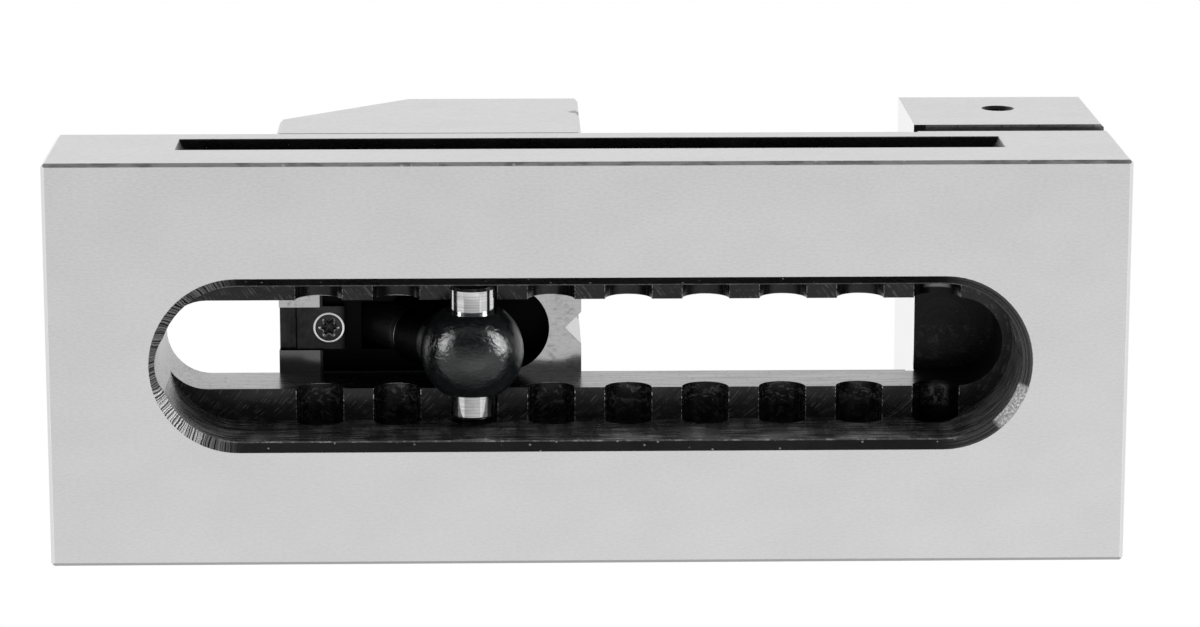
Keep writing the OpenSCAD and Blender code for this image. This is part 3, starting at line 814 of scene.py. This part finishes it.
@dataclass(frozen=True)
class DrawGear:
    """The draw bolt, its swivel washer, and the ball nut with its two cross pins."""

    ball_x: float = -20.7
    ball_z: float = 12.0
    ball_r: float = 9.3
    lean_deg: float = 55.0
    past: float = 0.8
    bolt_r: float = 4.0
    bolt_len: float = 43.7058
    tip: float = 0.8
    pitch: float = 1.25
    depth: float = 0.72
    threaded: float = 23.0
    head_r: float = 6.5
    head_h: float = 8.0
    head_gap: float = 0.05
    knurl: float = 0.16
    knurl_teeth: int = 48
    hex_af: float = 6.0
    hex_depth: float = 4.2
    neck_l: float = 18.0
    neck_c: float = 0.7

    def line(self) -> Axis:
        """The bolt's axis, from its tip up to its head."""
        lean = np.radians(self.lean_deg)
        up = np.array([-np.cos(lean), 0.0, np.sin(lean)])
        cross = np.array([0.0, 1.0, 0.0])
        turn = np.stack([np.cross(cross, up), cross, up], axis=1)
        tip = np.array([self.ball_x, 0.0, self.ball_z]) - self.past * up
        return Axis(tuple(tip), turn)

    def shank(self, angle: np.ndarray) -> tuple[np.ndarray, np.ndarray]:
        """Rows of the threaded tip and the plain shank.

        The radius is the bolt's less the thread's depth, which moves round once each pitch, fades
        out over the last pitch and a half, and stays under the cone of the tip's chamfer.

        Args:
            angle: The columns' places, in whole turns.

        Returns:
            The radii and the distances along the bolt.
        """
        turns = np.arange(0.0, self.threaded, self.pitch / 10.0)
        along = np.concatenate([turns, [self.threaded, self.bolt_len]])
        fade = np.clip((self.threaded - along) / (1.5 * self.pitch), 0.0, 1.0)[:, None]
        radii = self.bolt_r - fade * thread_depth(along[:, None] / self.pitch - angle, self.depth)
        return np.minimum(radii, self.bolt_r - self.tip + along[:, None]), along

    def head(self, angle: np.ndarray) -> tuple[np.ndarray, np.ndarray]:
        """Rows of the knurled head and its hexagon socket.

        The knurl takes a share of its depth off the radius, a triangle wave with one period for each
        tooth. The hexagon's radius is half its width divided by the cosine of the turn from the
        nearest flat's middle.

        Args:
            angle: The columns' places, in whole turns.

        Returns:
            The radii and the distances along the bolt.
        """
        low = self.bolt_len + self.head_gap
        top = self.bolt_len + self.head_h
        r = self.head_r
        plain = np.ones_like(angle)
        wave = np.abs(2.0 * np.mod(angle * self.knurl_teeth, 1.0) - 1.0)
        knurl = r - self.knurl * wave
        flat = np.radians(np.mod(angle * 360.0, 60.0) - 30.0)
        hexagon = 0.5 * self.hex_af / np.cos(flat)
        floor = top - self.hex_depth
        seat = [(low, 0.62), (low, 0.95), (low + 0.15, 0.985)]
        crown = [(top - 1.4, 0.975), (top - 0.65, 0.985), (top - 0.4, 0.965)]
        crown += [(top - 0.12, 0.925), (top, 0.885), (top, 0.60)]
        socket = [(top - 0.28, 1.0), (floor, 1.0), (floor - 0.02, 0.94), (floor - 0.9, 0.25)]
        rows = [(at, share * r * plain) for at, share in seat]
        rows += [(low + 0.5, knurl), (top - 1.6, knurl)]
        rows += [(at, share * r * plain) for at, share in crown]
        rows += [(at, share * hexagon) for at, share in socket]
        return np.stack([radii for _, radii in rows]), np.array([place for place, _ in rows])

    def bolt(self) -> bpy.types.Object:
        """The whole draw bolt in place of its plain solid."""
        angle = np.linspace(0.0, 1.0, 4 * self.knurl_teeth, endpoint=False)
        shank, shank_at = self.shank(angle)
        head, head_at = self.head(angle)
        points = self.line().lathe(np.concatenate([shank, head]), np.concatenate([shank_at, head_at]))
        piece = skin("socket_head_draw_bolt", points, False, 32.0)
        material, tree = new_material("black_bolt")
        base = BlackOxide(roughness=0.30, specks=0.0).coat(tree)
        rub = tree.noise((0.9, 0.9, 0.9), 4.0, 0.65).rise(0.60, 0.80)
        base.under(0.5 * rub, Coat(tree, grey(0.12), 0.34, 0.8, base.height)).finish()
        dress(piece, material)
        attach(piece, "bolt")
        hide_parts("draw_bolt")
        return piece

    def dress_washer(self, node: bpy.types.Object) -> None:
        """Finishes the swivel washer: black, with a rubbed seat."""
        material, tree = new_material("black_washer")
        base = BlackOxide(roughness=0.32, specks=0.0).coat(tree)
        rub = tree.noise((0.7, 0.7, 0.7), 3.0).rise(0.55, 0.75)
        base.under(0.35 * rub, Coat(tree, grey(0.16), 0.30, 0.9, base.height)).finish()
        dress(node, material)

    def dress_nut(self, node: bpy.types.Object) -> None:
        """Finishes the ball nut: glossy black, with faint turning lines and rubbed patches, a flat black
        neck as painted shade, and a bare rim.
        """
        material, tree = new_material("black_ball")
        x, _, z = tree.axes()
        lean = np.radians(self.lean_deg)
        along = (z - self.ball_z) * float(np.sin(lean)) - (x - self.ball_x) * float(np.cos(lean))
        line = tree.noise((0.5, 0.5, 5.0), 3.0, 0.6)
        rub = tree.noise((0.35, 0.8, 0.8), 4.0, 0.7).rise(0.52, 0.80)
        ripple = tree.noise((0.55, 0.9, 0.9), 4.0, 0.55, 1.2)
        gloss = BlackOxide(grey(0.003, -0.12), grey(0.010, -0.10), roughness=0.05, specks=0.03)
        base = gloss.coat(tree)
        base = Coat(tree, base.colour, base.roughness, base.metal, base.height + 0.115 * ripple)
        shine = Coat(tree, grey(0.014, -0.05), 0.08 + 0.16 * line, 0.0, base.height + 0.006 * line)
        # Painted shade: the neck in a flat black with almost no reflection.
        dull = Coat(tree, grey(0.003), 0.40, 1.0, base.height)
        bare = Coat(tree, grey(0.62), 0.22, 1.0, 0.0)
        neck = along.rise(self.ball_r, self.ball_r + 0.8)
        rim = along.rise(self.neck_l - self.neck_c - 0.22, self.neck_l - self.neck_c - 0.08)
        base.under(rub, shine).under(neck, dull).under(rim, bare).finish({"Specular IOR Level": 0.6})
        dress(node, material)

    def dress_pin(self, node: bpy.types.Object) -> None:
        """Finishes one cross pin."""
        material, tree = new_material(f"polished_{node.name}")
        PolishedPin().coat(tree, self.ball_x).finish()
        dress(node, material)


@dataclass(frozen=True)
class Keeper:
    """The keeper plate under the jaw and its six-lobe screw."""

    screw_x: float = -47.2
    roof: float = 33.5
    thread_in: float = 4.0
    plate_t: float = 2.0
    screw_r: float = 1.5
    head_r: float = 2.9
    rim: float = 0.3
    recess_r: float = 1.16
    lobe: float = 0.24
    recess_d: float = 1.0
    heel_x: float = -53.2
    pitch: float = 0.5
    thread_h: float = 0.24
    tip_r: float = 1.15
    turn_step: float = 0.0625
    columns: int = 96

    def dress_plate(self, node: bpy.types.Object) -> None:
        """Finishes the plate: dull black with fine lines across it, going flat black past the screw as
        painted shade.
        """
        material, tree = new_material("black_plate")
        base = BlackOxide(dark=grey(0.006), pale=grey(0.018), roughness=0.34, specks=0.0).coat(tree)
        line = tree.noise((4.0, 0.3, 0.3), 2.0).rise(0.40, 0.65)
        x, _, _ = tree.axes()
        step = abs(x - self.heel_x) < 0.13
        # Painted shade: past the screw towards +X the plate goes flat black.
        far = x.rise(self.screw_x + 1.2, self.screw_x + 3.0)
        coat = base.under(0.6 * line, Coat(tree, grey(0.030), 0.42, 0.1, base.height + 0.002))
        fade = tree.noise((0.35, 0.35, 0.35), 3.0).rise(0.35, 0.65)
        coat = coat.under((0.6 * fade) | (0.9 * far), Coat(tree, grey(0.003), 0.30, 1.0, base.height))
        coat.under(step, Coat(tree, grey(0.002), 0.5, 1.0, 0.0)).finish()
        dress(node, material)

    def screw(self) -> bpy.types.Object:
        """The countersunk screw in place of its plain solid.

        Rows follow the outline from the thread's end to the rim, over the dished face and into the
        recess, whose radius is a middle value plus a wave with six periods round the turn.

        Returns:
            The screw.
        """
        angle = np.linspace(0.0, 1.0, self.columns, endpoint=False)
        plain = np.ones_like(angle)
        lobes = self.recess_r + self.lobe * np.cos(12.0 * np.pi * angle)
        face = self.thread_in + self.plate_t
        cone = self.head_r - self.screw_r
        deep = face - self.recess_d
        turns = np.arange(0.0, self.thread_in, self.turn_step)
        shank = self.screw_r - thread_depth(turns[:, None] / self.pitch - angle, self.thread_h)
        shank = np.minimum(shank, self.tip_r + turns[:, None])
        rim = [(face - self.rim, 1.0), (face - 0.10, 1.0), (face - 0.02, 0.985), (face, 0.96)]
        rim += [(face, 0.86), (face - 0.10, 0.82), (face - 0.14, 0.72)]
        recess = [(face - 0.14, 1.38), (face - 0.16, 1.34), (face - 0.24, 1.08), (face - 0.32, 1.0)]
        recess += [(deep, 0.97), (deep - 0.05, 0.85), (deep - 0.25, 0.3)]
        rows = [(at, self.screw_r * plain) for at in (self.thread_in, face - self.rim - cone)]
        rows += [(at, share * self.head_r * plain) for at, share in rim]
        rows += [(at, share * lobes) for at, share in recess]
        radii = np.concatenate([shank, np.stack([radius for _, radius in rows])])
        along = np.concatenate([turns, [place for place, _ in rows]])
        line = Axis((self.screw_x, 0.0, self.roof + self.thread_in), np.diag([1.0, -1.0, -1.0]))
        piece = skin("six_lobe_keeper_screw", line.lathe(radii, along), False, 30.0)
        material, tree = new_material("keeper_screw_steel")
        x, y, z = tree.axes()
        out = ((x - self.screw_x) ** 2.0 + y * y) ** 0.5
        tone = tree.tint(tree.noise((2.0, 2.0, 2.0), 3.0), grey(0.55), grey(0.85))
        bare = Coat(tree, tone, 0.26, 1.0, 0.0)
        dark = BlackOxide(pale=grey(0.03), roughness=0.30, specks=0.0).coat(tree)
        sunk = z - (self.roof - self.plate_t)
        dull = (out < 0.86 * self.head_r) & ~sunk.within(0.142, 0.30)
        bare.under(dull, dark).finish()
        dress(piece, material)
        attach(piece, "jaw")
        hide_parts("keeper_screw")
        return piece


@dataclass(frozen=True)
class Lamp:
    """One soft rectangular studio light, aimed at the middle of the vise."""

    name: str
    place: tuple[float, float, float]
    size: tuple[float, float]
    power: float
    accent: bool = True

    def build(self, dark: bpy.types.Collection) -> None:
        """Adds the light.

        Args:
            dark: The black and polished pieces, which an accent light shines on alone.
        """
        data = bpy.data.lights.new(self.name, "AREA")
        data.shape = "RECTANGLE"
        data.size, data.size_y = self.size
        data.energy = self.power
        lamp = bpy.data.objects.new(self.name, data)
        back = np.array(self.place) - np.array([0.0, 0.0, 0.02])
        back = back / np.linalg.norm(back)
        right = np.cross([0.0, 1.0, 0.0] if abs(back[1]) < 0.9 else [1.0, 0.0, 0.0], back)
        right = right / np.linalg.norm(right)
        turn = np.eye(4)
        turn[:3, :3] = np.stack([right, np.cross(back, right), back], axis=1)
        turn[:3, 3] = self.place
        lamp.matrix_world = Matrix(turn.tolist())
        lamp.visible_camera = False
        if self.accent:
            lamp.light_linking.receiver_collection = dark
        bpy.context.scene.collection.objects.link(lamp)
        LOG.info("lit %s", self.name)


@dataclass(frozen=True)
class Studio:
    """White surroundings, a pale floor that only shows from above, and soft lights."""

    floor_z: float = -0.4
    floor_r: float = 9000.0
    inner_r: float = 20.0
    rings: int = 16
    spokes: int = 64
    sky: float = 0.93
    gloom: float = 0.06
    beside: float = 0.46

    def lamps(self) -> list[Lamp]:
        """The studio lights."""
        return [
            Lamp("softbox_right", (0.85, -0.46, -0.22), (0.52, 0.98), 23.0),
            Lamp("softbox_left", (-0.89, -0.38, -0.26), (0.42, 0.66), 7.0),
            Lamp("overhead", (-0.80, -1.10, 0.75), (0.80, 0.80), 1.2, False),
        ]

    def floor(self) -> bpy.types.Object:
        """The floor: rings of points about the origin at one height, each wider by a fixed ratio."""
        radii = np.geomspace(self.inner_r, self.floor_r, self.rings)[::-1, None]
        angle = np.linspace(0.0, 2.0 * np.pi, self.spokes, endpoint=False)
        level = np.full((self.rings, self.spokes), self.floor_z)
        places = np.stack([radii * np.cos(angle), radii * np.sin(angle), level], axis=2)
        index = np.arange(self.rings * self.spokes).reshape(self.rings, self.spokes)
        outer, inner = index[:-1], index[1:]
        quads = np.stack([outer, np.roll(outer, -1, 1), np.roll(inner, -1, 1), inner], axis=2)
        faces = quads.reshape(-1, 4).tolist() + [index[-1].tolist()]
        mesh = bpy.data.meshes.new("floor")
        mesh.from_pydata((places.reshape(-1, 3) * MM).tolist(), [], faces)
        floor = bpy.data.objects.new("floor", mesh)
        bpy.context.scene.collection.objects.link(floor)
        floor.visible_diffuse = False
        floor.visible_glossy = False
        floor.visible_transmission = False
        floor.visible_shadow = False
        material, tree = new_material("pale_floor")
        x, y, _ = tree.axes()
        far = ((x * x + y * y) ** 0.5).rise(350.0, 1500.0)
        mottle = tree.noise((0.004, 0.004, 0.004), 3.0)
        pale = tree.value("ShaderNodeBsdfDiffuse", {}, {"Color": tree.tint(mottle, grey(0.80), grey(0.86))})
        white = tree.value("ShaderNodeEmission", {}, {"Color": grey(1.0), "Strength": 1.0})
        top = tree.value("ShaderNodeMixShader", {}, {0: far, 1: pale, 2: white})
        clear = tree.value("ShaderNodeBsdfTransparent", {}, {})
        below = tree.value("ShaderNodeNewGeometry", {}, {}, "Backfacing")
        shader = tree.value("ShaderNodeMixShader", {}, {0: below, 1: top, 2: clear})
        tree.add("ShaderNodeOutputMaterial", {}, {"Surface": shader})
        dress(floor, material)
        return floor

    def surroundings(self) -> None:
        """Light by direction.

        It is white above. Below, it is a table that is brightest steeply under the vise and towards
        +Y, a dimmer ring beside it, a panel towards -Y, both flanks, and bright edges of that panel.
        The camera itself sees plain white.
        """
        world = bpy.data.worlds.new("studio")
        tree = Tree(world)
        way = tree.value("ShaderNodeTexCoord", {}, {}, "Generated")
        parts = tree.add("ShaderNodeSeparateXYZ", {}, {0: way})
        x, y, z = (Value(tree, out) for out in parts.outputs)
        above = z.rise(0.02, 0.30)
        steep = (-z).rise(0.60, 0.85)
        under = (0.48 + 0.76 * y.rise(0.0, 0.32)) * (1.0 - 0.55 * y.rise(0.40, 0.75)) * (1.0 + 0.30 * x)
        table = y.rise(-0.34, -0.06) * tree.blend(steep, self.beside, under)
        table = table * (1.0 - 0.50 * y.rise(0.60, 0.95))
        front = (-y).rise(0.45, 0.85) & z.rise(-0.75, -0.35)
        flank = abs(x).rise(0.50, 0.72)
        edge = abs(x).rise(0.76, 0.90) & (-y).rise(0.24, 0.40)
        below = self.gloom + table + 0.50 * front + 0.26 * flank + 1.25 * edge
        level = below * ~above + self.sky * above
        seen = tree.value("ShaderNodeLightPath", {}, {}, "Is Camera Ray")
        back = tree.value("ShaderNodeBackground", {}, {"Color": grey(1.0), "Strength": (level | seen)})
        tree.add("ShaderNodeOutputWorld", {}, {"Surface": back})
        bpy.context.scene.world = world

    def build(self, dark_pieces: Sequence[bpy.types.Object]) -> None:
        """Sets the whole studio.

        Args:
            dark_pieces: The black and polished pieces, which the softboxes bring out.
        """
        self.surroundings()
        self.floor()
        dark = bpy.data.collections.new("dark_pieces")
        for piece in dark_pieces:
            dark.objects.link(piece)
        for lamp in self.lamps():
            lamp.build(dark)
        bpy.context.scene.view_settings.view_transform = "Standard"


@dataclass(frozen=True)
class PhotoCamera:
    """The camera as fitted to the photograph, with its focal length in pixels of the picture's width."""

    focal: float = 4213.0
    pitch: float = 12.324
    yaw: float = -1.413
    roll: float = 0.042
    place: tuple[float, float, float] = (-15.94, -168.29, -727.37)
    width: float = 1200.0
    sensor: float = 36.0

    def turn(self) -> np.ndarray:
        """Rows that point right, down and ahead: the roll, times the pitch, times the yaw."""
        a, b, c = np.radians([self.pitch, self.yaw, self.roll])
        tip = np.array([[1, 0, 0], [0, np.cos(a), -np.sin(a)], [0, np.sin(a), np.cos(a)]])
        swing = np.array([[np.cos(b), 0, np.sin(b)], [0, 1, 0], [-np.sin(b), 0, np.cos(b)]])
        tilt = np.array([[np.cos(c), -np.sin(c), 0], [np.sin(c), np.cos(c), 0], [0, 0, 1]])
        return tilt @ tip @ swing

    def build(self) -> None:
        """Adds the camera and makes it the scene's own."""
        data = bpy.data.cameras.new("photo_camera")
        data.sensor_width = self.sensor
        data.lens = self.focal * self.sensor / self.width
        camera = bpy.data.objects.new("photo_camera", data)
        right, down, ahead = self.turn()
        pose = np.eye(4)
        pose[:3, :3] = np.stack([right, -down, -ahead], axis=1)
        pose[:3, 3] = np.array(self.place) * MM
        camera.matrix_world = Matrix(pose.tolist())
        bpy.context.scene.collection.objects.link(camera)
        bpy.context.scene.camera = camera
        LOG.info("camera set")


def main() -> None:
    """Loads the frame, then builds and dresses each sub-assembly in turn."""
    logging.basicConfig(level=logging.INFO, format="%(name)s: %(message)s")
    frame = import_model()
    nodes = frame["nodes"]
    PhotoCamera().build()
    bed = Bed()
    bed.dress(nodes["vise_body"])
    for side in Side:
        bed.stop_thread(side)
    SlidingJaw().dress(nodes["movable_jaw"])
    gear = DrawGear()
    bolt = gear.bolt()
    gear.dress_washer(nodes["swivel_washer"])
    gear.dress_nut(nodes["ball_nut"])
    for pin in ("pivot_pin_left", "pivot_pin_right"):
        gear.dress_pin(nodes[pin])
    keeper = Keeper()
    keeper.dress_plate(nodes["keeper_plate"])
    screw = keeper.screw()
    small = ("swivel_washer", "ball_nut", "pivot_pin_left", "pivot_pin_right", "keeper_plate")
    Studio().build([bolt, screw] + [nodes[name] for name in small])


if __name__ == "__main__":
    main()
